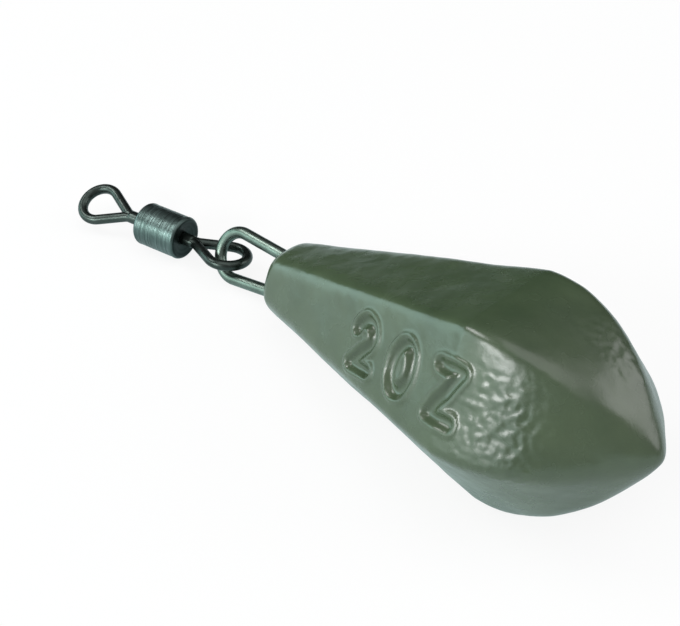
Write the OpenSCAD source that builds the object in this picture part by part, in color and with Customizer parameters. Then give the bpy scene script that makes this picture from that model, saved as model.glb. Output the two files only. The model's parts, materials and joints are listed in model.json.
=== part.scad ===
// A coated fishing lead with a swivel, lying on one of its six flats.
// The lead is a six-sided pear. A wire loop is cast into its small end, and the swivel's
// lead-side eye is threaded through that loop. All sizes are in millimetres.
// +X runs along the table towards the nose, +Z is up, and z = 0 is the table. The origin is
// on the resting flat, half way along the flank.

/* [Lead body] */
// Length from the small end to the tip of the nose
body_len = 40; // [30:0.5:60]
// Length of the straight tapering flank, from the small end to the belly
flank_len = 27; // [18:0.5:40]
// Width across two opposite flats at the belly
belly_flats = 16.8; // [12:0.1:26]
// Width across two opposite flats at the rim of the small end
end_flats = 7.4; // [6.6:0.1:12]
// Radius on the long edges, the rim of the small end and the tip
edge_r = 1.2; // [0.6:0.1:2]
// Thickness of the plastic coating over the lead
coat_t = 0.35; // [0.2:0.05:0.5]

/* [Wire loop] */
// Diameter of the loop's wire
loop_wire_d = 1.2; // [0.9:0.05:1.4]
// Clear width inside the loop's round end
loop_in_w = 3.45; // [3.2:0.05:4]
// How far the loop stands out of the lead's small end
loop_out = 9.8; // [8:0.05:14]
// Distance between the loop's two legs where they enter the lead
leg_apart = 3.5; // [2.4:0.05:3.8]
// Depth of the loop's legs in the lead
loop_depth = 9; // [5:0.5:14]
// Bend radius of the turned-in foot on each leg
loop_foot = 0.9; // [0.75:0.05:0.95]
// Sideways lean of the loop, degrees
loop_lean = 7; // [0:0.5:12]
// Tilt of the loop's own plane from level, degrees
loop_tilt = 58; // [40:1:65]

/* [Swivel eyes] */
// Diameter of the wire that the eyes are bent from
eye_wire_d = 1.05; // [0.8:0.05:1.3]
// Clear diameter inside the round end of an eye
eye_hole_d = 2.9; // [2.7:0.05:4]
// From the centre of an eye's round end to where its two strands meet
eye_taper_len = 4.2; // [3.6:0.05:6]
// Diameter of the neck that turns in the barrel
neck_d = 1.3; // [1:0.05:1.6]
// Diameter of the head that keeps the neck in the barrel
head_d = 2.3; // [1.8:0.1:2.8]
// Thickness of that head
head_t = 0.8; // [0.5:0.05:1.2]
// Bare neck between the line eye and the barrel, with the eye pulled out
neck_out = 2.1; // [1.4:0.05:3.5]
// How far the lead-side eye is pushed into the barrel from its pulled-out place
end_play = 1; // [0:0.05:1.1]
// Yaw of the swivel from the lead's own direction, degrees
swivel_yaw = 14.5; // [0:0.5:20]
// Lean of the lead-side eye's plane from level, degrees
lead_eye_lean = 10; // [0:1:20]
// Lean of the line eye's plane from level, degrees
line_eye_lean = 23; // [0:1:30]

/* [Swivel barrel] */
// Outside diameter of the barrel
barrel_d = 4.45; // [3.6:0.05:5]
// Length of the barrel
barrel_len = 5.25; // [4.8:0.05:8]
// Bevel around each end of the barrel
barrel_bevel = 0.4; // [0.2:0.05:0.8]
// Thickness of each end wall
end_wall_t = 0.7; // [0.4:0.05:1]
// Thickness of the barrel's side wall
side_wall_t = 0.7; // [0.4:0.05:0.9]

/* [Clearances] */
// Radial clearance of a neck in its hole
neck_gap = 0.05; // [0.02:0.01:0.1]
// Clearance between a head and the end wall that it bears on
head_gap = 0.05; // [0.02:0.01:0.1]
// Radial clearance of the loop's wire in the lead
cast_gap = 0.01; // [0.005:0.005:0.05]
// Clearance between the lead-side eye and the loop that it hangs on
link_gap = 0.12; // [0.05:0.01:0.3]
// Clearance between the table and what rests on it beside the lead
table_gap = 0.05; // [0.02:0.01:0.2]

/* [Hidden] */
sides = 6;
round_fn = 48;
hull_fn = 24;
// The nose is drawn at this many stations, closer together towards the tip
nose_steps = 8;
// The nose's half width falls off as (1 - t ^ nose_power) ^ nose_fullness
nose_power = 2.2;
nose_fullness = 0.9;
// How far round the loop's bend the eye hangs, in degrees from the bend's middle
link_angle = 12;
// Radius of the ball at a joint between two runs of wire, as a share of the wire's
ball_share = 1.03;
// Where an eye's strands end in the neck, as a share of the neck's width over the wire's
strand_meet_share = 0.25;
// Share of an eye's tapered stretch that the loop's wire has slid into
taper_room_share = 0.07;

// Lead body, as the centre lines of its rounded edges
end_apothem = end_flats / 2 - edge_r;
belly_apothem = belly_flats / 2 - edge_r;
body_tilt = atan((belly_apothem - end_apothem) / (flank_len - edge_r));
half_corner = 180 / sides;
// A faceted sphere's lowest facet lies this share of its radius below its centre
pole_share = cos(180 / hull_fn);
axis_dir = [cos(body_tilt), 0, sin(body_tilt)];
down_dir = [sin(body_tilt), 0, -cos(body_tilt)];
side_dir = [0, -1, 0];
// Centre of the small end's face, with the resting flat at z = 0 and its middle at x = 0
end_point = [
    -(edge_r + flank_len) / 2 * cos(body_tilt) - (end_apothem + belly_apothem) / 2 * sin(body_tilt),
    0,
    edge_r * pole_share + end_apothem * cos(body_tilt) - edge_r * sin(body_tilt)
];

// Swivel
barrel_r = barrel_d / 2;
neck_r = neck_d / 2;
eye_wire_r = eye_wire_d / 2;
eye_ring_r = eye_hole_d / 2 + eye_wire_r;
neck_len = neck_out + end_wall_t + head_gap;
line_ring_out = barrel_len / 2 + neck_out + eye_taper_len;
lead_ring_out = line_ring_out - end_play;
ring_apart = lead_ring_out + line_ring_out;
// The barrel lies on the table
swivel_z = table_gap + barrel_r;
swivel_turns = [0, 0, swivel_yaw];

// Wire loop, which rises or falls so that it meets the swivel at the swivel's own height
loop_wire_r = loop_wire_d / 2;
loop_ring_r = (loop_in_w + loop_wire_d) / 2;
loop_leg_out = loop_out - loop_wire_r - loop_ring_r;
link_reach = loop_leg_out + loop_ring_r * cos(link_angle);
link_side = loop_ring_r * sin(link_angle);
link_fall = link_side * sin(loop_tilt);
// How square the loop's wire crosses the eye: the cosine of the angle between wire and square
link_square = abs(turned([sin(link_angle), -cos(link_angle), 0], [loop_tilt, 0, loop_lean])
    * turned([0, sin(lead_eye_lean), cos(lead_eye_lean)], swivel_turns));
link_in = eye_ring_r - eye_wire_r - loop_wire_r / link_square - link_gap
    + (eye_taper_len - eye_ring_r) * taper_room_share;
loop_rise = asin((end_point.z - swivel_z) / norm([link_reach, link_fall])) - atan2(link_fall, link_reach);
loop_turns = [loop_tilt, -loop_rise, loop_lean];
link_point = end_point + turned([-link_reach, -link_side, 0], loop_turns);

coat_color = [0.34, 0.41, 0.32];
lead_color = [0.46, 0.47, 0.5];
loop_color = [0.5, 0.56, 0.52];
swivel_color = [0.3, 0.36, 0.35];

// A vector after rotate(a)
function turned(v, a) =
    let (
        x = [v.x, v.y * cos(a.x) - v.z * sin(a.x), v.y * sin(a.x) + v.z * cos(a.x)],
        y = [x.x * cos(a.y) + x.z * sin(a.y), x.y, x.z * cos(a.y) - x.x * sin(a.y)]
    )
    [y.x * cos(a.z) - y.y * sin(a.z), y.x * sin(a.z) + y.y * cos(a.z), y.z];

// Two strands leave a ring about the origin and meet at meet.x from its centre, meet.y to each
// side of the middle: the angle at which each leans towards the middle, and its length
function converging(ring_r, meet) = 90 - atan(meet.y / meet.x) - acos(ring_r / norm(meet));
function strand_len(ring_r, meet) = sqrt(meet * meet - ring_r * ring_r);

// Where run i of a wire starts, and its heading there
function turned_before(runs, i) = i == 0 ? 0 : turned_before(runs, i - 1) + runs[i - 1][2];
function run_start(runs, i) = i == 0 ? [0, 0] :
    let (
        straight = runs[i - 1][0],
        side_r = sign(runs[i - 1][2]) * runs[i - 1][1],
        before = turned_before(runs, i - 1),
        after = turned_before(runs, i)
    )
    run_start(runs, i - 1) + straight * [cos(before), sin(before)]
        + side_r * [sin(after) - sin(before), cos(before) - cos(after)];

// Half width across flats at share t of the nose, as a share of the belly's
function nose_share(t) = pow(1 - pow(t, nose_power), nose_fullness);

// Stations along the edges' centre lines: [distance from the small end, apothem]
function stations() = concat(
    [[edge_r, end_apothem]],
    [for (i = [0 : nose_steps])
        let (t = sin(90 * i / nose_steps))
        [flank_len + t * (body_len - flank_len - edge_r), belly_apothem * nose_share(t)]]
);

// The convex lead with every edge rounded to radius r about the same centre lines
module pear(r) {
    hull()
        for (s = stations(), k = [0 : sides - 1]) {
            corner_angle = half_corner + k * 360 / sides;
            corner_r = s[1] / cos(half_corner);
            translate(end_point + s[0] * axis_dir
                + corner_r * (cos(corner_angle) * down_dir + sin(corner_angle) * side_dir))
                sphere(r, $fn = hull_fn);
        }
}

// A straight round rod from one point to another
module rod(from, to, r) {
    along = to - from;
    translate(from)
        rotate([0, acos(along.z / norm(along)), atan2(along.y, along.x)])
            cylinder(h = norm(along), r = r, $fn = round_fn);
}

// A ball a hair wider than the wire, inside which two runs of wire meet
module joint_ball(wire_r) {
    sphere(wire_r * ball_share, $fn = round_fn);
}

// A wire in the XY plane that sets out from the origin along +X. Each run has a straight length,
// then the ring radius and the turn of the bend that follows; a turn to the left is positive.
module wire(runs, wire_r) {
    for (i = [0 : len(runs) - 1]) {
        straight = runs[i][0];
        ring_r = runs[i][1];
        turn = runs[i][2];
        heading = turned_before(runs, i);
        bend_start = run_start(runs, i) + straight * [cos(heading), sin(heading)];
        if (i > 0)
            translate(run_start(runs, i))
                joint_ball(wire_r);
        if (straight > 0)
            rod([for (v = run_start(runs, i)) v, 0], [for (v = bend_start) v, 0], wire_r);
        if (straight > 0 && turn != 0)
            translate(bend_start)
                joint_ball(wire_r);
        if (turn != 0)
            translate(bend_start + sign(turn) * ring_r * [-sin(heading), cos(heading)])
                rotate([0, 0, turn > 0 ? heading - 90 : heading + 90 + turn])
                    rotate_extrude(angle = abs(turn), $fn = 2 * round_fn)
                        translate([ring_r, 0])
                            circle(wire_r, $fn = round_fn);
    }
}

// The whole loop: round end and strands outside, straight legs and turned-in feet in the lead
module loop_path(wire_r) {
    meet = [loop_leg_out, leg_apart / 2];
    entry_r = loop_wire_d;
    entry_cut = entry_r * tan(converging(loop_ring_r, meet) / 2);
    lean = converging(loop_ring_r, meet);
    translate(end_point)
        rotate(loop_turns)
            translate([-loop_leg_out - loop_ring_r, 0, 0]) {
                joint_ball(wire_r);
                for (half = [0, 1])
                    mirror([0, half, 0])
                        rotate([0, 0, -90])
                            wire([
                                [0, loop_ring_r, 90 + lean],
                                [strand_len(loop_ring_r, meet) - entry_cut, entry_r, -lean],
                                [loop_depth - entry_cut - loop_foot, loop_foot, 90]
                            ], wire_r);
            }
}

// Moves to a point on the swivel's axis, this far from the lead-side eye's centre
module on_swivel(back) {
    translate(link_point)
        rotate(swivel_turns)
            translate([link_in - back, 0, 0])
                children();
}

// An eye about the origin in the XY plane: round end, two strands, neck and head towards -X
module eye() {
    meet = [eye_taper_len, (neck_d - eye_wire_d) * strand_meet_share];
    head_x = eye_taper_len + neck_len;
    translate([eye_ring_r, 0, 0]) {
        joint_ball(eye_wire_r);
        for (half = [0, 1])
            mirror([0, half, 0])
                rotate([0, 0, 90])
                    wire([
                        [0, eye_ring_r, 90 + converging(eye_ring_r, meet)],
                        [strand_len(eye_ring_r, meet), 0, 0]
                    ], eye_wire_r);
    }
    rotate([0, -90, 0])
        rotate_extrude($fn = round_fn)
            polygon([
                [0, eye_taper_len - eye_wire_d],
                [neck_r, eye_taper_len],
                [neck_r, head_x],
                [head_d / 2, head_x],
                [head_d / 2, head_x + head_t],
                [0, head_x + head_t]
            ]);
}

module lead_body() {
    color(lead_color)
        difference() {
            pear(edge_r - coat_t);
            loop_path(loop_wire_r + cast_gap);
        }
}

module body_coating() {
    color(coat_color)
        difference() {
            pear(edge_r);
            pear(edge_r - coat_t);
            loop_path(loop_wire_r + cast_gap);
        }
}

module wire_loop() {
    color(loop_color)
        loop_path(loop_wire_r);
}

module lead_eye() {
    color(swivel_color)
        on_swivel(0)
            rotate([-lead_eye_lean, 0, 0])
                eye();
}

module swivel_barrel() {
    half_len = barrel_len / 2;
    hole_r = neck_r + neck_gap;
    inner_r = barrel_r - side_wall_t;
    color(swivel_color)
        on_swivel(lead_ring_out)
            rotate([0, 90, 0])
                rotate_extrude($fn = 2 * round_fn)
                    polygon([
                        [hole_r, -half_len],
                        [barrel_r - barrel_bevel, -half_len],
                        [barrel_r, barrel_bevel - half_len],
                        [barrel_r, half_len - barrel_bevel],
                        [barrel_r - barrel_bevel, half_len],
                        [hole_r, half_len],
                        [hole_r, half_len - end_wall_t],
                        [inner_r, half_len - end_wall_t],
                        [inner_r, end_wall_t - half_len],
                        [hole_r, end_wall_t - half_len]
                    ]);
}

module line_eye() {
    color(swivel_color)
        on_swivel(ring_apart)
            rotate([line_eye_lean, 0, 0])
                rotate([0, 180, 0])
                    eye();
}

lead_body();
body_coating();
wire_loop();
lead_eye();
swivel_barrel();
line_eye();
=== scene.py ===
"""A coated fishing lead with a barrel swivel, in metres, in the CAD frame: +X to the nose, +Z up."""
import json
import math

import bmesh
import bpy
import numpy as np
from mathutils import Matrix, Vector, noise

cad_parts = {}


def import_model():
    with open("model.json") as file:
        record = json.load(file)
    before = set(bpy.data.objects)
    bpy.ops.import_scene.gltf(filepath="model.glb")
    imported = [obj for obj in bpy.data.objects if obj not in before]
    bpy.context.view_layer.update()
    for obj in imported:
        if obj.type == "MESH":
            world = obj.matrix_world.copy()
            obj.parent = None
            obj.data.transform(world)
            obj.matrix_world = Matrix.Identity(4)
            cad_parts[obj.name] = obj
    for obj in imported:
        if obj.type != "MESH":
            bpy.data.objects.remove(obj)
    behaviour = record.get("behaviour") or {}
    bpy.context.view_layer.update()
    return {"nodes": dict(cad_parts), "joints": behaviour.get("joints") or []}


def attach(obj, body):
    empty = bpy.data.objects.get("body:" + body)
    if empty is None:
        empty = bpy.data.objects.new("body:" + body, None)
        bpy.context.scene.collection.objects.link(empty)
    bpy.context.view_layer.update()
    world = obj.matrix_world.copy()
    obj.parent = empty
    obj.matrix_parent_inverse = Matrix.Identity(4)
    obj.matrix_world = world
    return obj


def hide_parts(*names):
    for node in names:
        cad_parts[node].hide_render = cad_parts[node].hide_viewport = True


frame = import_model()

# Driving sizes, the same as those of the CAD model
MM = 0.001
BODY_LEN = 40 * MM
FLANK_LEN = 27 * MM
BELLY_FLATS = 16.8 * MM
END_FLATS = 7.4 * MM
EDGE_R = 1.2 * MM
NOSE_POWER = 2.2
NOSE_FULLNESS = 0.9
SIDES = 6
SECTOR = math.radians(360 / SIDES)

LOOP_WIRE_R = 0.6 * MM
LOOP_RING_R = 2.325 * MM
LOOP_OUT = 9.8 * MM
LEG_APART = 3.5 * MM
LOOP_DEPTH = 9 * MM
LOOP_FOOT = 0.9 * MM
LOOP_LEAN = math.radians(7)
LOOP_TILT = math.radians(58)

EYE_WIRE_R = 0.525 * MM
EYE_RING_R = 1.975 * MM
EYE_TAPER = 4.2 * MM
NECK_R = 0.65 * MM
NECK_OUT = 2.1 * MM
HEAD_R = 1.15 * MM
HEAD_T = 0.8 * MM
END_PLAY = 1 * MM
LEAD_EYE_LEAN = math.radians(10)
LINE_EYE_LEAN = math.radians(23)
BARREL_R = 2.225 * MM
BARREL_LEN = 5.25 * MM
BARREL_BEVEL = 0.4 * MM
WALL_T = 0.7 * MM
NECK_GAP = 0.05 * MM

# The lead's own frame: from the middle of its small end along its axis
END_APOTHEM = END_FLATS / 2 - EDGE_R
BELLY_APOTHEM = BELLY_FLATS / 2 - EDGE_R
TILT = math.atan((BELLY_APOTHEM - END_APOTHEM) / (FLANK_LEN - EDGE_R))
AXIS = Vector((math.cos(TILT), 0, math.sin(TILT)))
DOWN = Vector((math.sin(TILT), 0, -math.cos(TILT)))
SIDE = Vector((0, -1, 0))
END = Vector((
    -(EDGE_R + FLANK_LEN) / 2 * math.cos(TILT) - (END_APOTHEM + BELLY_APOTHEM) / 2 * math.sin(TILT),
    0,
    EDGE_R + END_APOTHEM * math.cos(TILT) - EDGE_R * math.sin(TILT),
))

# The swivel lies along the frame's own joint line
joints = {joint["name"]: joint for joint in frame["joints"]}
BARREL_CENTRE = Vector(joints["barrel_spin"]["pos_m"])
SWIVEL_AXIS = Vector(joints["barrel_spin"]["axis"]).normalized()
SWIVEL_SIDE = Vector((0, 0, 1)).cross(SWIVEL_AXIS).normalized()
SWIVEL_TURN = Matrix((SWIVEL_AXIS, SWIVEL_SIDE, SWIVEL_AXIS.cross(SWIVEL_SIDE))).transposed().to_4x4()
LINE_RING_OUT = BARREL_LEN / 2 + NECK_OUT + EYE_TAPER
LEAD_RING_OUT = LINE_RING_OUT - END_PLAY

# The loop rises or falls from the small end so that the link lies at its joint
LINK = Vector(joints["lead_eye_swing"]["pos_m"])
LINK_ANGLE = math.radians(12)
LEG_OUT = LOOP_OUT - LOOP_WIRE_R - LOOP_RING_R
LINK_REACH = LEG_OUT + LOOP_RING_R * math.cos(LINK_ANGLE)
LINK_FALL = LOOP_RING_R * math.sin(LINK_ANGLE) * math.sin(LOOP_TILT)
LOOP_RISE = (math.asin((END.z - LINK.z) / math.hypot(LINK_REACH, LINK_FALL))
             - math.atan2(LINK_FALL, LINK_REACH))
LOOP_PLACE = (Matrix.Translation(END) @ Matrix.Rotation(LOOP_LEAN, 4, "Z")
              @ Matrix.Rotation(-LOOP_RISE, 4, "Y") @ Matrix.Rotation(LOOP_TILT, 4, "X"))

# The photograph's frame and the camera that was fitted to it
PHOTO_W = 680
FOCAL_PX = 1019.4
CAM_ELEVATION = 0.706
CAM_AZIMUTH = 0.8209
CAM_REACH = 83.84 * MM
SEEN_MIDDLE = Vector((3.82, 0, 6.78)) * MM
SEEN_RIGHT = 7.93 * MM
SEEN_UP = 3.11 * MM
SENSOR = 36


def smooth(edge0, edge1, x):
    """0 below edge0, 1 above edge1 and a smooth rise between them."""
    t = np.clip((x - edge0) / (edge1 - edge0), 0, 1)
    return t * t * (3 - 2 * t)


def add_object(name, mesh):
    obj = bpy.data.objects.new(name, mesh)
    bpy.context.scene.collection.objects.link(obj)
    return obj


def shade_smooth(mesh):
    mesh.polygons.foreach_set("use_smooth", [True] * len(mesh.polygons))


# Lead: a grid of rows along the profile and columns round the six flats
ROW_STEP = 0.16 * MM
END_ROUND = 2.1 * MM
END_DOME = 0.42 * MM
END_STEPS = 30
# How much the edges' radius grows at the small end and at the tip, as a share of EDGE_R
SOFT_EDGES = 0.8
SOFT_NOSE = 0.8
# The share of a hexagon's corner that a rounding as large as its apothem cuts, and the most cut
CORNER_CUT = 0.134
MOST_CUT = 0.12
COLUMNS = {0: 34, 1: 40, 2: 60, 3: 50, 4: 34, 5: 34}


def centre_line(n=400):
    """Points (u, apothem) on the centre line of the rounding, from the small end to the tip."""
    t = np.sin(np.linspace(0, math.pi / 2, n))
    u = FLANK_LEN + t * (BODY_LEN - FLANK_LEN - EDGE_R)
    a = BELLY_APOTHEM * (1 - t ** NOSE_POWER) ** NOSE_FULLNESS
    return np.column_stack([u, a])


def arc(centre, from_angle, to_angle, radius=EDGE_R, n=14):
    """Points of an arc, with EDGE_R as the usual radius."""
    t = np.linspace(from_angle, to_angle, n)
    return centre + radius * np.column_stack([np.cos(t), np.sin(t)])


def small_end():
    """The bulging small end and its softened rim, whose centre keeps it on the flanks' own line."""
    grown = END_ROUND - EDGE_R
    centre_u = END_ROUND - END_DOME
    along = (centre_u - EDGE_R - grown * math.sin(TILT)) / math.cos(TILT)
    apothem = END_APOTHEM + along * math.sin(TILT) - grown * math.cos(TILT)
    rim = arc((centre_u, apothem), math.pi, math.pi / 2 + TILT, END_ROUND)
    face = np.column_stack([np.full(END_STEPS, -END_DOME), np.linspace(0, apothem, END_STEPS)])
    return np.concatenate([face, rim])


def profile():
    """Points (u, apothem) of the flats' own outline, from the small end's middle to the tip."""
    nose = centre_line()
    along = np.gradient(nose, axis=0)
    along /= np.linalg.norm(along, axis=1)[:, None]
    nose_out = nose + EDGE_R * np.column_stack([-along[:, 1], along[:, 0]])
    flank_out = math.pi / 2 + TILT
    first_out = math.atan2(along[0, 0], -along[0, 1])
    last_out = math.atan2(along[-1, 0], -along[-1, 1])
    rows = [
        small_end(),
        arc((FLANK_LEN, BELLY_APOTHEM), flank_out, first_out),
        nose_out,
        arc(nose[-1], last_out, 0),
    ]
    return np.concatenate(rows)


def resample(points, step):
    """The same outline at an even spacing."""
    length = np.concatenate([[0], np.cumsum(np.linalg.norm(np.diff(points, axis=0), axis=1))])
    keep = np.concatenate([[True], np.diff(length) > 0])
    even = np.linspace(0, length[-1], round(length[-1] / step))
    return np.column_stack([np.interp(even, length[keep], points[keep, i]) for i in (0, 1)])


def column_angles():
    """Angles from straight down towards the viewer, with each flat's own number of columns."""
    angles = []
    for flat, count in COLUMNS.items():
        across = (np.arange(count) + 0.5) / count * 2 - 1
        angles.append(flat * SECTOR + np.arctan(across * math.tan(SECTOR / 2)))
    return np.concatenate(angles)


def section_radius(angles, apothem, corner_r):
    """Distance from the axis to a rounded hexagon, for one apothem."""
    apothem = max(apothem, 1e-6)
    cut = min(CORNER_CUT * corner_r / apothem, MOST_CUT)
    power = -math.log(2) / math.log(1 - cut)
    away = np.array([np.cos(angles - k * SECTOR) for k in range(SIDES)])
    return apothem / (np.clip(away, 0, None) ** power).sum(0) ** (1 / power)


def lead_mesh(name):
    """The lead's smooth shape, with softer edges at both ends, as quads closed by two fans."""
    rows = resample(profile(), ROW_STEP)[1:-1]
    angles = column_angles()
    round_dir = np.outer(np.cos(angles), DOWN) + np.outer(np.sin(angles), SIDE)
    tip = np.array(END + BODY_LEN * AXIS)
    edge_rs = EDGE_R * (1 + SOFT_EDGES * (1 - smooth(0, FLANK_LEN, rows[:, 0]))
                        + SOFT_NOSE * smooth(FLANK_LEN, BODY_LEN, rows[:, 0]))
    grid = [np.array(END) + u * np.array(AXIS) + section_radius(angles, h, edge_r)[:, None] * round_dir
            for (u, h), edge_r in zip(rows, edge_rs)]
    n = len(angles)
    verts = np.concatenate([np.concatenate(grid), [np.array(END - END_DOME * AXIS), tip]])
    faces = []
    for i in range(len(rows) - 1):
        for j in range(n):
            k = (j + 1) % n
            faces.append((i * n + j, (i + 1) * n + j, (i + 1) * n + k, i * n + k))
    last = (len(rows) - 1) * n
    for j in range(n):
        k = (j + 1) % n
        faces.append((len(verts) - 2, j, k))
        faces.append((len(verts) - 1, last + k, last + j))
    mesh = bpy.data.meshes.new(name)
    mesh.from_pydata(verts.tolist(), [], faces)
    mesh.update()
    shade_smooth(mesh)
    return mesh


def bow(middle_x, middle_y, reach_x, reach_y, start, stop, n=15):
    """Points of a stroke that bends round a middle, between two angles in degrees."""
    turn = np.radians(np.linspace(start, stop, n))
    return [(middle_x + reach_x * math.cos(t), middle_y + reach_y * math.sin(t)) for t in turn]


# The weight in ounces on the front flat, as strokes in a box one unit high
SIGNS = {
    "2": [bow(0.36, 0.7, 0.31, 0.3, 170, -38) + [(0.05, 0.0), (0.7, 0.0)]],
    "O": [bow(0.36, 0.5, 0.31, 0.5, 0, 360, 25)],
    "Z": [[(0.06, 1.0), (0.68, 1.0), (0.06, 0.0), (0.7, 0.0)]],
}
MARKS = [("2", 16.7 * MM), ("O", 21.8 * MM), ("Z", 26.8 * MM)]
MARK_H = 3.8 * MM
MARK_W = 3.3 * MM
MARK_DOWN = 0.35 * MM
MARK_STROKE_R = 0.45 * MM
MARK_DEPTH = 0.34 * MM
MARK_MIDDLE = 0.36
# A stroke has a level floor, walls that end a little past its radius, and a rim beyond them
MARK_FLOOR_R = 0.1 * MM
MARK_WALL_SHARE = 1.25
MARK_RIM_SHARE = 1.65
MARK_RIM = 0.16 * MM
MARK_RIM_W = 0.2 * MM
WANDER = 0.16 * MM
WANDER_SIZE = 1.6 * MM
FRONT = 2
FAR = 1.0

# Dents of the coating all over: the size of each, then how far it stands out
DENTS = [(7 * MM, 0.10 * MM), (2.6 * MM, 0.045 * MM), (0.9 * MM, 0.014 * MM)]
# The wrinkled patch on the belly, with U along the lead's axis and Y across the front flat
PATCH_U = 31 * MM
PATCH_Y = -1.2 * MM
PATCH_REACH_U = 3.4 * MM
PATCH_REACH_Y = 4.4 * MM
PATCH_HALF_ANGLE = 0.6 * SECTOR
PATCH_CLEAR = 1.6 * MM
CRINKLE_SIZE = 0.7 * MM
CRINKLE_H = 0.03 * MM
CRINKLE_MEAN = 1.2
PIMPLE_SIZE = 0.45 * MM
PIMPLE_H = 0.055 * MM
# The finer wrinkles on the nose
NOSE_WRINKLES_AT = math.radians(198)
NOSE_WRINKLES_HALF = math.radians(14)
NOSE_WRINKLES_U = 34.6 * MM
NOSE_WRINKLES_REACH = 2.4 * MM
NOSE_WRINKLE_SIZE = 0.5 * MM
NOSE_WRINKLE_H = 0.04 * MM
# The coating's creep up each wire, and the limits of all this together
MENISCUS_H = 0.28 * MM
MENISCUS_R = 0.9 * MM
LOWEST = -0.32 * MM
HIGHEST = 0.3 * MM


def local_coordinates(co):
    """Distance along the axis, angle from straight down, and distance from the axis."""
    p = co - np.array(END)
    u = p @ np.array(AXIS)
    d = p @ np.array(DOWN)
    s = p @ np.array(SIDE)
    return u, np.arctan2(s, d), np.hypot(s, d)


def front_across(angle, radius):
    """Height across the front flat, up towards its upper edge."""
    return radius * np.sin(angle - FRONT * SECTOR)


def stroke_distance(u, y):
    """Distance to the nearest stroke of the marks, on the front flat."""
    best = np.full(len(u), FAR)
    for sign, at in MARKS:
        for stroke in SIGNS[sign]:
            pts = [np.array((at + (x - MARK_MIDDLE) * MARK_W, (v - 0.5) * MARK_H - MARK_DOWN))
                   for x, v in stroke]
            for a, b in zip(pts, pts[1:]):
                ab = b - a
                t = np.clip(((u - a[0]) * ab[0] + (y - a[1]) * ab[1]) / (ab @ ab), 0, 1)
                best = np.minimum(best, np.hypot(u - a[0] - t * ab[0], y - a[1] - t * ab[1]))
    return best


def noise_field(co, scale, seed, kind="plain"):
    """Seeded noise of about this size at every point."""
    offset = Vector((seed * 13.7, seed * 5.1, seed * 9.3))
    out = np.empty(len(co))
    for i, p in enumerate(co):
        v = Vector(p) / scale + offset
        if kind == "ridged":
            out[i] = noise.ridged_multi_fractal(v, 0.9, 2.1, 3, 1.0, 2.0)
        else:
            out[i] = noise.noise(v)
    return out


def coating_height(co):
    """How far the coating stands out from the ideal shape, in metres."""
    u, angle, radius = local_coordinates(co)
    y = front_across(angle, radius)
    on_front = np.abs(angle - FRONT * SECTOR) < SECTOR / 2
    h = sum(depth * noise_field(co, size, seed) for seed, (size, depth) in enumerate(DENTS, 1))
    # Wrinkles where the front flat turns into the nose, clear of the marks, whose edges wander a little
    patch = np.exp(-((u - PATCH_U) / PATCH_REACH_U) ** 4 - ((y - PATCH_Y) / PATCH_REACH_Y) ** 4)
    patch = np.where(np.abs(angle - FRONT * SECTOR) < PATCH_HALF_ANGLE, patch, 0)
    wandered_u = u + WANDER * noise_field(co, WANDER_SIZE, 6)
    wandered_y = y + WANDER * noise_field(co, WANDER_SIZE, 7)
    d = np.where(on_front, stroke_distance(wandered_u, wandered_y), FAR)
    patch *= smooth(MARK_STROKE_R, PATCH_CLEAR, d)
    h += patch * CRINKLE_H * (noise_field(co, CRINKLE_SIZE, 4, "ridged") - CRINKLE_MEAN)
    h += patch * PIMPLE_H * noise_field(co, PIMPLE_SIZE, 5)
    # Finer wrinkles on the nose's upper side
    from_top = (angle % (2 * math.pi)) - NOSE_WRINKLES_AT
    wrinkled = np.exp(-((u - NOSE_WRINKLES_U) / NOSE_WRINKLES_REACH) ** 4
                      - (from_top / NOSE_WRINKLES_HALF) ** 4)
    h += wrinkled * NOSE_WRINKLE_H * noise_field(co, NOSE_WRINKLE_SIZE, 8)
    # The coating creeps up each wire where it enters the small end
    for side in (-1, 1):
        entry = np.array(LOOP_PLACE @ Vector((-END_DOME, side * LEG_APART / 2, 0)))
        away = np.linalg.norm(co - entry, axis=1)
        h += MENISCUS_H * np.exp(-(away / MENISCUS_R) ** 2)
    # Strokes, with a low rim of coating beside them
    h -= MARK_DEPTH * (1 - smooth(MARK_FLOOR_R, MARK_STROKE_R * MARK_WALL_SHARE, d))
    h += MARK_RIM * np.exp(-((d - MARK_STROKE_R * MARK_RIM_SHARE) / MARK_RIM_W) ** 2)
    return np.clip(h, LOWEST, HIGHEST)


def displace(mesh, height):
    """Moves every vertex along its normal by its height, and none below the table."""
    mesh.update()
    n = len(mesh.vertices)
    co = np.empty(n * 3)
    nor = np.empty(n * 3)
    mesh.vertices.foreach_get("co", co)
    mesh.vertex_normals.foreach_get("vector", nor)
    co, nor = co.reshape(-1, 3), nor.reshape(-1, 3)
    co = co + nor * height(co)[:, None]
    co[:, 2] = np.maximum(co[:, 2], 0)
    mesh.vertices.foreach_set("co", co.ravel())
    mesh.update()


# Materials. Scales of noise are per metre, heights of bumps in metres.
COATING_MOTTLE_SCALE = 260
COATING_ROUGH_SCALE = 420
COATING_BUMP_SCALE = 2600
COATING_BUMP_H = 0.00004
METAL_MOTTLE_SCALE = 700
METAL_ROUGH_SCALE = 1500
METAL_BUMP_SCALE = 5000
METAL_BUMP_H = 0.00002
STREAK_SCALE = 7000


def new_material(name):
    """A material with its nodes, its links and its Principled shader."""
    mat = bpy.data.materials.new(name)
    mat.use_nodes = True
    nodes, links = mat.node_tree.nodes, mat.node_tree.links
    return mat, nodes, links, nodes["Principled BSDF"]


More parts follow.
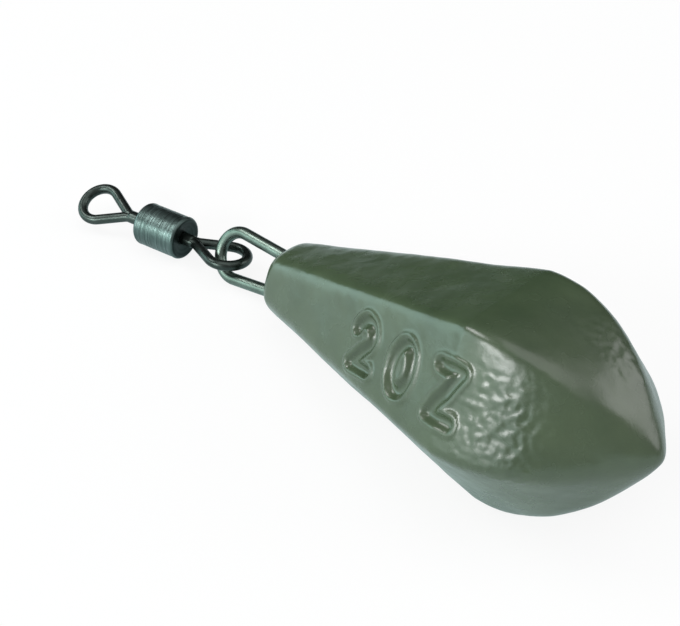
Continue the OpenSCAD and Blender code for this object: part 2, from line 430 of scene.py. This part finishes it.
def ramp(nodes, links, source, stops):
    """A colour ramp from a factor; stops are (position, grey or colour)."""
    node = nodes.new("ShaderNodeValToRGB")
    elements = node.color_ramp.elements
    while len(elements) < len(stops):
        elements.new(0.5)
    for element, (at, value) in zip(elements, stops):
        element.position = at
        element.color = (*value, 1) if isinstance(value, tuple) else (value, value, value, 1)
    links.new(source, node.inputs["Fac"])
    return node.outputs["Color"]


def noise_node(nodes, links, coords, scale, detail=2.0, rough=0.5):
    node = nodes.new("ShaderNodeTexNoise")
    node.inputs["Scale"].default_value = scale
    node.inputs["Detail"].default_value = detail
    node.inputs["Roughness"].default_value = rough
    links.new(coords, node.inputs["Vector"])
    return node.outputs["Fac"]


def bump(nodes, links, bsdf, height, strength, distance):
    node = nodes.new("ShaderNodeBump")
    node.inputs["Strength"].default_value = strength
    node.inputs["Distance"].default_value = distance
    links.new(height, node.inputs["Height"])
    links.new(node.outputs["Normal"], bsdf.inputs["Normal"])


def coating_material():
    mat, nodes, links, bsdf = new_material("coating")
    coords = nodes.new("ShaderNodeTexCoord").outputs["Object"]
    mottle = noise_node(nodes, links, coords, COATING_MOTTLE_SCALE, 4, 0.55)
    colour = ramp(nodes, links, mottle, [(0.3, (0.04, 0.063, 0.032)), (0.7, (0.056, 0.083, 0.043))])
    links.new(colour, bsdf.inputs["Base Color"])
    rough_spots = noise_node(nodes, links, coords, COATING_ROUGH_SCALE, 3)
    rough = ramp(nodes, links, rough_spots, [(0.3, 0.2), (0.7, 0.3)])
    links.new(rough, bsdf.inputs["Roughness"])
    bsdf.inputs["IOR"].default_value = 1.62
    grain = noise_node(nodes, links, coords, COATING_BUMP_SCALE, 3, 0.6)
    bump(nodes, links, bsdf, grain, 0.25, COATING_BUMP_H)
    return mat


def metal_material(name, dark, light, rough_low, rough_high):
    mat, nodes, links, bsdf = new_material(name)
    coords = nodes.new("ShaderNodeTexCoord").outputs["Object"]
    mottle = noise_node(nodes, links, coords, METAL_MOTTLE_SCALE, 3)
    links.new(ramp(nodes, links, mottle, [(0.3, dark), (0.7, light)]), bsdf.inputs["Base Color"])
    rough_spots = noise_node(nodes, links, coords, METAL_ROUGH_SCALE, 3)
    rough = ramp(nodes, links, rough_spots, [(0.3, rough_low), (0.7, rough_high)])
    links.new(rough, bsdf.inputs["Roughness"])
    bsdf.inputs["Metallic"].default_value = 1
    bump(nodes, links, bsdf, noise_node(nodes, links, coords, METAL_BUMP_SCALE, 2), 0.2, METAL_BUMP_H)
    return mat


def turned(mat, axis, share):
    """Streaks round this axis of the piece, and painted shade that darkens the faces that look along it
    to this share of their colour.
    """
    nodes, links = mat.node_tree.nodes, mat.node_tree.links
    along = nodes.new("ShaderNodeVectorMath")
    along.operation = "DOT_PRODUCT"
    along.inputs[1].default_value = axis
    links.new(nodes["Texture Coordinate"].outputs["Object"], along.inputs[0])
    streak = nodes.new("ShaderNodeTexNoise")
    streak.noise_dimensions = "1D"
    streak.inputs["Scale"].default_value = STREAK_SCALE
    streak.inputs["Detail"].default_value = 3
    links.new(along.outputs["Value"], streak.inputs["W"])
    streaks = ramp(nodes, links, streak.outputs["Fac"], [(0.35, 0.55), (0.65, 1.15)])
    facing = nodes.new("ShaderNodeVectorMath")
    facing.operation = "DOT_PRODUCT"
    facing.inputs[1].default_value = axis
    links.new(nodes["Texture Coordinate"].outputs["Normal"], facing.inputs[0])
    either = nodes.new("ShaderNodeMath")
    either.operation = "ABSOLUTE"
    links.new(facing.outputs["Value"], either.inputs[0])
    # Painted shade: faces that look along the axis are darkened to this share of their colour
    painted_end_shade = ramp(nodes, links, either.outputs[0], [(0.55, 1.0), (0.9, share)])
    base = nodes["Principled BSDF"].inputs["Base Color"]
    for tone in (streaks, painted_end_shade):
        mix = nodes.new("ShaderNodeVectorMath")
        mix.operation = "MULTIPLY"
        links.new(base.links[0].from_socket, mix.inputs[0])
        links.new(tone, mix.inputs[1])
        links.new(mix.outputs["Vector"], base)


def set_material(obj, mat):
    obj.data.materials.clear()
    obj.data.materials.append(mat)


# Bent wires: the spacing of a line's points, and the points round each section
EYE_STEP = 0.12 * MM
LOOP_STEP = 0.15 * MM
EYE_SIDES = 24
NECK_SIDES = 32
LOOP_SIDES = 28
# The soft bend where an eye's strands run into its neck, and how far apart they end
EYE_BEND_R = 1.3 * MM
STRAND_MEET_SHARE = 0.3
REMESH_VOXEL = 0.055
SOFTEN_STEPS = 4
# The barrel's lathe marks and the shallow hollow in each of its ends
CRIMP = 0.3 * MM
TURNED_LINE = 0.05 * MM
TURNED_PITCH = 0.13 * MM
TURNED_ROWS = 90
TURNED_SEED = 3.7
BARREL_SIDES = 96
SHARP_FROM = math.radians(40)


def route(runs, step):
    """Points of a wire that sets out from the origin along +X, a turn to the left being positive.
    Each run is a straight length, then the radius and the turn of the bend that follows."""
    points = [np.zeros(2)]
    heading = 0.0
    for straight, radius, turn in runs:
        n = max(1, round(straight / step))
        way = np.array((math.cos(heading), math.sin(heading)))
        points += [points[-1] + way * straight / n * (i + 1) for i in range(n)] if straight else []
        n = max(1, round(radius * abs(turn) / step))
        side = math.copysign(radius, turn)
        start = points[-1]
        for i in range(n if turn else 0):
            now = heading + turn * (i + 1) / n
            moved = math.sin(now) - math.sin(heading), math.cos(heading) - math.cos(now)
            points.append(start + side * np.array(moved))
        heading += turn
    return np.array(points)


def both_halves(half):
    """A route and its mirror image over its first point's side, as one line in the XY plane."""
    line = np.concatenate([half[::-1] * (1, -1), half[1:]])
    return np.column_stack([line, np.zeros(len(line))])


def skin(rings, sides, closed):
    """Faces between neighbouring rings of this many points, with end caps unless the rings close up."""
    faces = []
    for i in range(rings if closed else rings - 1):
        here, there = i * sides, (i + 1) % rings * sides
        for j in range(sides):
            k = (j + 1) % sides
            faces.append((here + j, here + k, there + k, there + j))
    if not closed:
        faces += [tuple(range(sides))[::-1], tuple(range((rings - 1) * sides, rings * sides))]
    return faces


def tube(line, radius, sides, name):
    """A closed tube along a line in the XY plane."""
    along = np.gradient(line, axis=0)
    along /= np.linalg.norm(along, axis=1)[:, None]
    across = np.column_stack([-along[:, 1], along[:, 0], along[:, 2]])
    turn = np.linspace(0, 2 * math.pi, sides, endpoint=False)
    rings = (line[:, None] + radius * np.cos(turn)[None, :, None] * across[:, None]
             + radius * np.sin(turn)[None, :, None] * np.array((0, 0, 1.0)))
    mesh = bpy.data.meshes.new(name)
    mesh.from_pydata(rings.reshape(-1, 3).tolist(), [], skin(len(line), sides, closed=False))
    mesh.update()
    return mesh


def lathe(outline, sides, name, closed=False):
    """A solid of revolution about X; the outline is (x, radius) pairs."""
    turn = np.linspace(0, 2 * math.pi, sides, endpoint=False)
    verts = [(x, r * math.cos(t), r * math.sin(t)) for x, r in outline for t in turn]
    mesh = bpy.data.meshes.new(name)
    mesh.from_pydata(verts, [], skin(len(outline), sides, closed))
    mesh.update()
    return mesh


def turned_outwards(mesh):
    """Turns the normals of a closed mesh outwards."""
    work = bmesh.new()
    work.from_mesh(mesh)
    bmesh.ops.recalc_face_normals(work, faces=work.faces)
    work.to_mesh(mesh)
    work.free()


def crossing(ring_r, bend_r, meet):
    """The lean of a strand that leaves a ring about the origin and then bends back into line at meet,
    and the length of its straight stretch."""
    to_bend = math.hypot(meet[0], meet[1] + bend_r)
    lean = math.asin((ring_r + bend_r) / to_bend) - math.atan((meet[1] + bend_r) / meet[0])
    return lean, math.sqrt(to_bend ** 2 - (ring_r + bend_r) ** 2)


def fused(meshes, name):
    """One skin round several solids, with soft inner corners. The remesh works in millimetres."""
    work = bmesh.new()
    for mesh in meshes:
        turned_outwards(mesh)
        work.from_mesh(mesh)
    bmesh.ops.scale(work, vec=Vector((1, 1, 1)) / MM, verts=work.verts)
    joined = bpy.data.meshes.new(name)
    work.to_mesh(joined)
    work.free()
    obj = add_object(name, joined)
    remesh = obj.modifiers.new("skin", "REMESH")
    remesh.mode = "VOXEL"
    remesh.voxel_size = REMESH_VOXEL
    soften = obj.modifiers.new("soften", "SMOOTH")
    soften.iterations = SOFTEN_STEPS
    bpy.context.view_layer.update()
    done = bpy.data.meshes.new_from_object(obj.evaluated_get(bpy.context.evaluated_depsgraph_get()))
    obj.modifiers.clear()
    obj.data = done
    done.transform(Matrix.Scale(MM, 4))
    shade_smooth(done)
    return obj


def eye(name, place):
    """An eye: round end, two strands that run side by side into the neck, and the head in the barrel."""
    meet = (EYE_TAPER, EYE_WIRE_R * STRAND_MEET_SHARE)
    lean, strand = crossing(EYE_RING_R, EYE_BEND_R, meet)
    runs = [(0, EYE_RING_R, math.pi / 2 + lean), (strand, EYE_BEND_R, -lean), (NECK_OUT / 2, 0, 0)]
    half = route(runs, EYE_STEP)
    half = np.column_stack([EYE_RING_R - half[:, 1], half[:, 0]])
    ring = tube(both_halves(half), EYE_WIRE_R, EYE_SIDES, name + "_ring")
    neck_end = EYE_TAPER + NECK_OUT + WALL_T + NECK_GAP
    # The neck begins as a cone between the strands
    neck_outline = [
        (-EYE_TAPER + EYE_WIRE_R, NECK_R * 0.3),
        (-EYE_TAPER - EYE_WIRE_R * 0.4, NECK_R),
        (-neck_end, NECK_R),
        (-neck_end, HEAD_R),
        (-neck_end - HEAD_T, HEAD_R),
    ]
    neck = lathe(neck_outline, NECK_SIDES, name + "_neck")
    obj = fused([ring, neck], name)
    obj.data.transform(place)
    return obj


def swivel_place(along, roll, flipped=False):
    """From an eye's own frame to its place on the swivel's line, this far from the barrel's middle."""
    at = Matrix.Translation(BARREL_CENTRE + along * SWIVEL_AXIS)
    place = at @ SWIVEL_TURN @ Matrix.Rotation(roll, 4, "X")
    return place @ Matrix.Rotation(math.pi, 4, "Y") if flipped else place


def barrel():
    """The barrel: rounded bevels, faint turned lines, and the hollow that holds the heads."""
    half = BARREL_LEN / 2
    hole = NECK_R + NECK_GAP
    bevel_turn = np.linspace(0, math.pi / 2, 9)
    right = [(half - BARREL_BEVEL * (1 - math.sin(t)), BARREL_R - BARREL_BEVEL * (1 - math.cos(t)))
             for t in bevel_turn]
    left = [(-x, r) for x, r in right[::-1]]
    xs = np.linspace(left[-1][0], right[0][0], TURNED_ROWS)[1:-1]
    cuts = [noise.noise(Vector((x / TURNED_PITCH, TURNED_SEED, 0))) for x in xs]
    lines = [BARREL_R - TURNED_LINE * (0.5 + 0.5 * cut) for cut in cuts]
    outside = left + list(zip(xs, lines)) + right
    inside = [
        (half - CRIMP, hole),
        (half - WALL_T, hole),
        (half - WALL_T, BARREL_R - WALL_T),
        (WALL_T - half, BARREL_R - WALL_T),
        (WALL_T - half, hole),
        (CRIMP - half, hole),
    ]
    mesh = lathe(outside + inside, BARREL_SIDES, "barrel_shell", closed=True)
    turned_outwards(mesh)
    mesh.transform(Matrix.Translation(BARREL_CENTRE) @ SWIVEL_TURN)
    obj = add_object("barrel_shell", mesh)
    shade_smooth(mesh)
    mesh.set_sharp_from_angle(angle=SHARP_FROM)
    return obj


def cast_in_loop():
    """The wire loop with its legs and turned-in feet, at the place of the CAD loop."""
    entry_r = 2 * LOOP_WIRE_R
    meet = math.hypot(LEG_OUT, LEG_APART / 2)
    lean = math.pi / 2 - math.atan(LEG_APART / 2 / LEG_OUT) - math.acos(LOOP_RING_R / meet)
    cut = entry_r * math.tan(lean / 2)
    strand = math.sqrt(meet ** 2 - LOOP_RING_R ** 2)
    runs = [
        (0, LOOP_RING_R, math.pi / 2 + lean),
        (strand - cut, entry_r, -lean),
        (LOOP_DEPTH - cut - LOOP_FOOT, LOOP_FOOT, math.pi / 2),
    ]
    half = route(runs, LOOP_STEP)
    half = np.column_stack([half[:, 1] - LEG_OUT - LOOP_RING_R, -half[:, 0]])
    mesh = tube(both_halves(half), LOOP_WIRE_R, LOOP_SIDES, "bent_loop")
    turned_outwards(mesh)
    mesh.transform(LOOP_PLACE)
    shade_smooth(mesh)
    return add_object("bent_loop", mesh)


coating = coating_material()
loop_metal = metal_material("loop_wire", (0.12, 0.155, 0.133), (0.17, 0.22, 0.19), 0.25, 0.4)
eye_metal = metal_material("swivel_wire", (0.034, 0.044, 0.04), (0.068, 0.085, 0.077), 0.25, 0.4)
barrel_metal = metal_material("barrel_metal", (0.085, 0.122, 0.113), (0.145, 0.2, 0.19), 0.3, 0.45)
# The barrel's end faces get painted shade, down to a quarter of their colour
turned(barrel_metal, SWIVEL_AXIS, 0.25)
lead_metal = metal_material("cast_lead", (0.2, 0.2, 0.21), (0.3, 0.3, 0.32), 0.5, 0.7)

# The coated lead
coated_mesh = lead_mesh("coated_lead")
displace(coated_mesh, coating_height)
coated_lead = add_object("coated_lead", coated_mesh)
set_material(coated_lead, coating)
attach(coated_lead, "lead")
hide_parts("body_coating")


def dress(piece, mat, body, node):
    """Gives a piece its material and its body, and hides the CAD node that it stands for."""
    set_material(piece, mat)
    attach(piece, body)
    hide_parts(node)


dress(cast_in_loop(), loop_metal, "lead", "wire_loop")
dress(eye("lead_side_eye", swivel_place(LEAD_RING_OUT, -LEAD_EYE_LEAN)),
      eye_metal, "lead_eye", "lead_eye")
dress(eye("line_side_eye", swivel_place(-LINE_RING_OUT, LINE_EYE_LEAN, flipped=True)),
      eye_metal, "line_eye", "line_eye")
dress(barrel(), barrel_metal, "barrel", "swivel_barrel")
set_material(frame["nodes"]["lead_body"], lead_metal)


# Floor, lamps and world
FLOOR_REACH = 1.5
FLOOR_SEEN_WHITE = 0.87
FLOOR_MIRRORED_WHITE = 0.36
FLOOR_MIRRORED_TINT = (0.62, 0.95, 1.0)
LAMP_REACH = 0.6


def floor_material():
    """White to the camera apart from its shadows, and dimmer and cooler where it is mirrored."""
    mat, nodes, links, bsdf = new_material("floor")
    bsdf.inputs["Base Color"].default_value = (0.9, 0.9, 0.9, 1)
    bsdf.inputs["Roughness"].default_value = 0.9
    white = nodes.new("ShaderNodeEmission")
    path = nodes.new("ShaderNodeLightPath")
    glow = ramp(nodes, links, path.outputs["Is Glossy Ray"], [(0.0, 1.0), (1.0, FLOOR_MIRRORED_TINT)])
    links.new(glow, white.inputs["Color"])
    share = nodes.new("ShaderNodeMath")
    share.operation = "MULTIPLY"
    share.inputs[1].default_value = FLOOR_SEEN_WHITE
    dimmed = nodes.new("ShaderNodeMath")
    dimmed.operation = "MULTIPLY"
    dimmed.inputs[1].default_value = FLOOR_MIRRORED_WHITE
    seen = nodes.new("ShaderNodeMath")
    seen.operation = "MAXIMUM"
    links.new(path.outputs["Is Camera Ray"], share.inputs[0])
    links.new(share.outputs[0], seen.inputs[0])
    links.new(path.outputs["Is Glossy Ray"], dimmed.inputs[0])
    links.new(dimmed.outputs[0], seen.inputs[1])
    mix = nodes.new("ShaderNodeMixShader")
    links.new(seen.outputs[0], mix.inputs["Fac"])
    links.new(bsdf.outputs["BSDF"], mix.inputs[1])
    links.new(white.outputs["Emission"], mix.inputs[2])
    links.new(mix.outputs["Shader"], nodes["Material Output"].inputs["Surface"])
    return mat


def floor():
    """The level surface that the object lies on."""
    size = FLOOR_REACH
    mesh = bpy.data.meshes.new("floor")
    corners = [(-size, -size, 0), (size, -size, 0), (size, size, 0), (-size, size, 0)]
    mesh.from_pydata(corners, [], [(0, 1, 2, 3)])
    obj = add_object("floor", mesh)
    set_material(obj, floor_material())


def area_lamp(name, azimuth, elevation, width, height, radiance, colour=(1, 1, 1)):
    """A lamp aimed at the object, of this radiance. Azimuth runs from +X towards +Y, in degrees."""
    az, el = math.radians(azimuth), math.radians(elevation)
    way = Vector((math.cos(el) * math.cos(az), math.cos(el) * math.sin(az), math.sin(el)))
    data = bpy.data.lights.new(name, "AREA")
    data.shape = "RECTANGLE"
    data.size = width
    data.size_y = height
    data.energy = radiance * math.pi * width * height
    data.color = colour
    obj = add_object(name, data)
    obj.location = SEEN_MIDDLE + way * LAMP_REACH
    obj.rotation_euler = way.to_track_quat("Z", "Y").to_euler()


def world(bright, dim, towards):
    """A pale room whose walls are bright on one side and dim on the other, and white to the camera."""
    w = bpy.data.worlds.new("studio")
    bpy.context.scene.world = w
    w.use_nodes = True
    nodes, links = w.node_tree.nodes, w.node_tree.links
    side = nodes.new("ShaderNodeVectorMath")
    side.operation = "DOT_PRODUCT"
    side.inputs[1].default_value = (math.cos(towards) / 2, math.sin(towards) / 2, 0.3)
    links.new(nodes.new("ShaderNodeTexCoord").outputs["Generated"], side.inputs[0])
    lifted = nodes.new("ShaderNodeMath")
    lifted.inputs[1].default_value = 0.5
    links.new(side.outputs["Value"], lifted.inputs[0])
    level = ramp(nodes, links, lifted.outputs[0], [(0.15, dim), (0.7, bright)])
    seen = nodes.new("ShaderNodeMath")
    seen.operation = "MAXIMUM"
    links.new(level, seen.inputs[0])
    links.new(nodes.new("ShaderNodeLightPath").outputs["Is Camera Ray"], seen.inputs[1])
    links.new(seen.outputs[0], nodes["Background"].inputs["Color"])


def camera():
    """The camera that was fitted to the photograph, level and off the object's middle."""
    right = Vector((math.cos(CAM_AZIMUTH), math.sin(CAM_AZIMUTH), 0))
    flat = Vector((math.sin(CAM_AZIMUTH), -math.cos(CAM_AZIMUTH), 0))
    back = flat * math.cos(CAM_ELEVATION) + Vector((0, 0, 1)) * math.sin(CAM_ELEVATION)
    up = back.cross(right)
    data = bpy.data.cameras.new("camera")
    data.sensor_width = SENSOR
    data.lens = FOCAL_PX / PHOTO_W * SENSOR
    data.clip_start = 1 * MM
    obj = add_object("camera", data)
    place = SEEN_MIDDLE - SEEN_RIGHT * right + SEEN_UP * up + CAM_REACH * back
    turn = Matrix((right, up, back)).transposed().to_4x4()
    obj.matrix_world = Matrix.Translation(place) @ turn
    bpy.context.scene.camera = obj


camera()
floor()
world(0.4, 0.02, math.radians(315))
area_lamp("front", 255, 15, 0.72, 0.34, 1.7, (0.8, 1, 0.96))
area_lamp("low", 208, 7, 0.42, 0.28, 2.6, (0.7, 1, 0.97))
area_lamp("key", 260, 25, 0.32, 0.1, 13)
area_lamp("ridge", 210, 45, 0.24, 0.14, 7.5)
area_lamp("right", 50, 27, 0.38, 0.34, 2.1)
area_lamp("top", 20, 80, 0.6, 0.6, 1.15)
bpy.context.scene.view_settings.view_transform = "Standard"
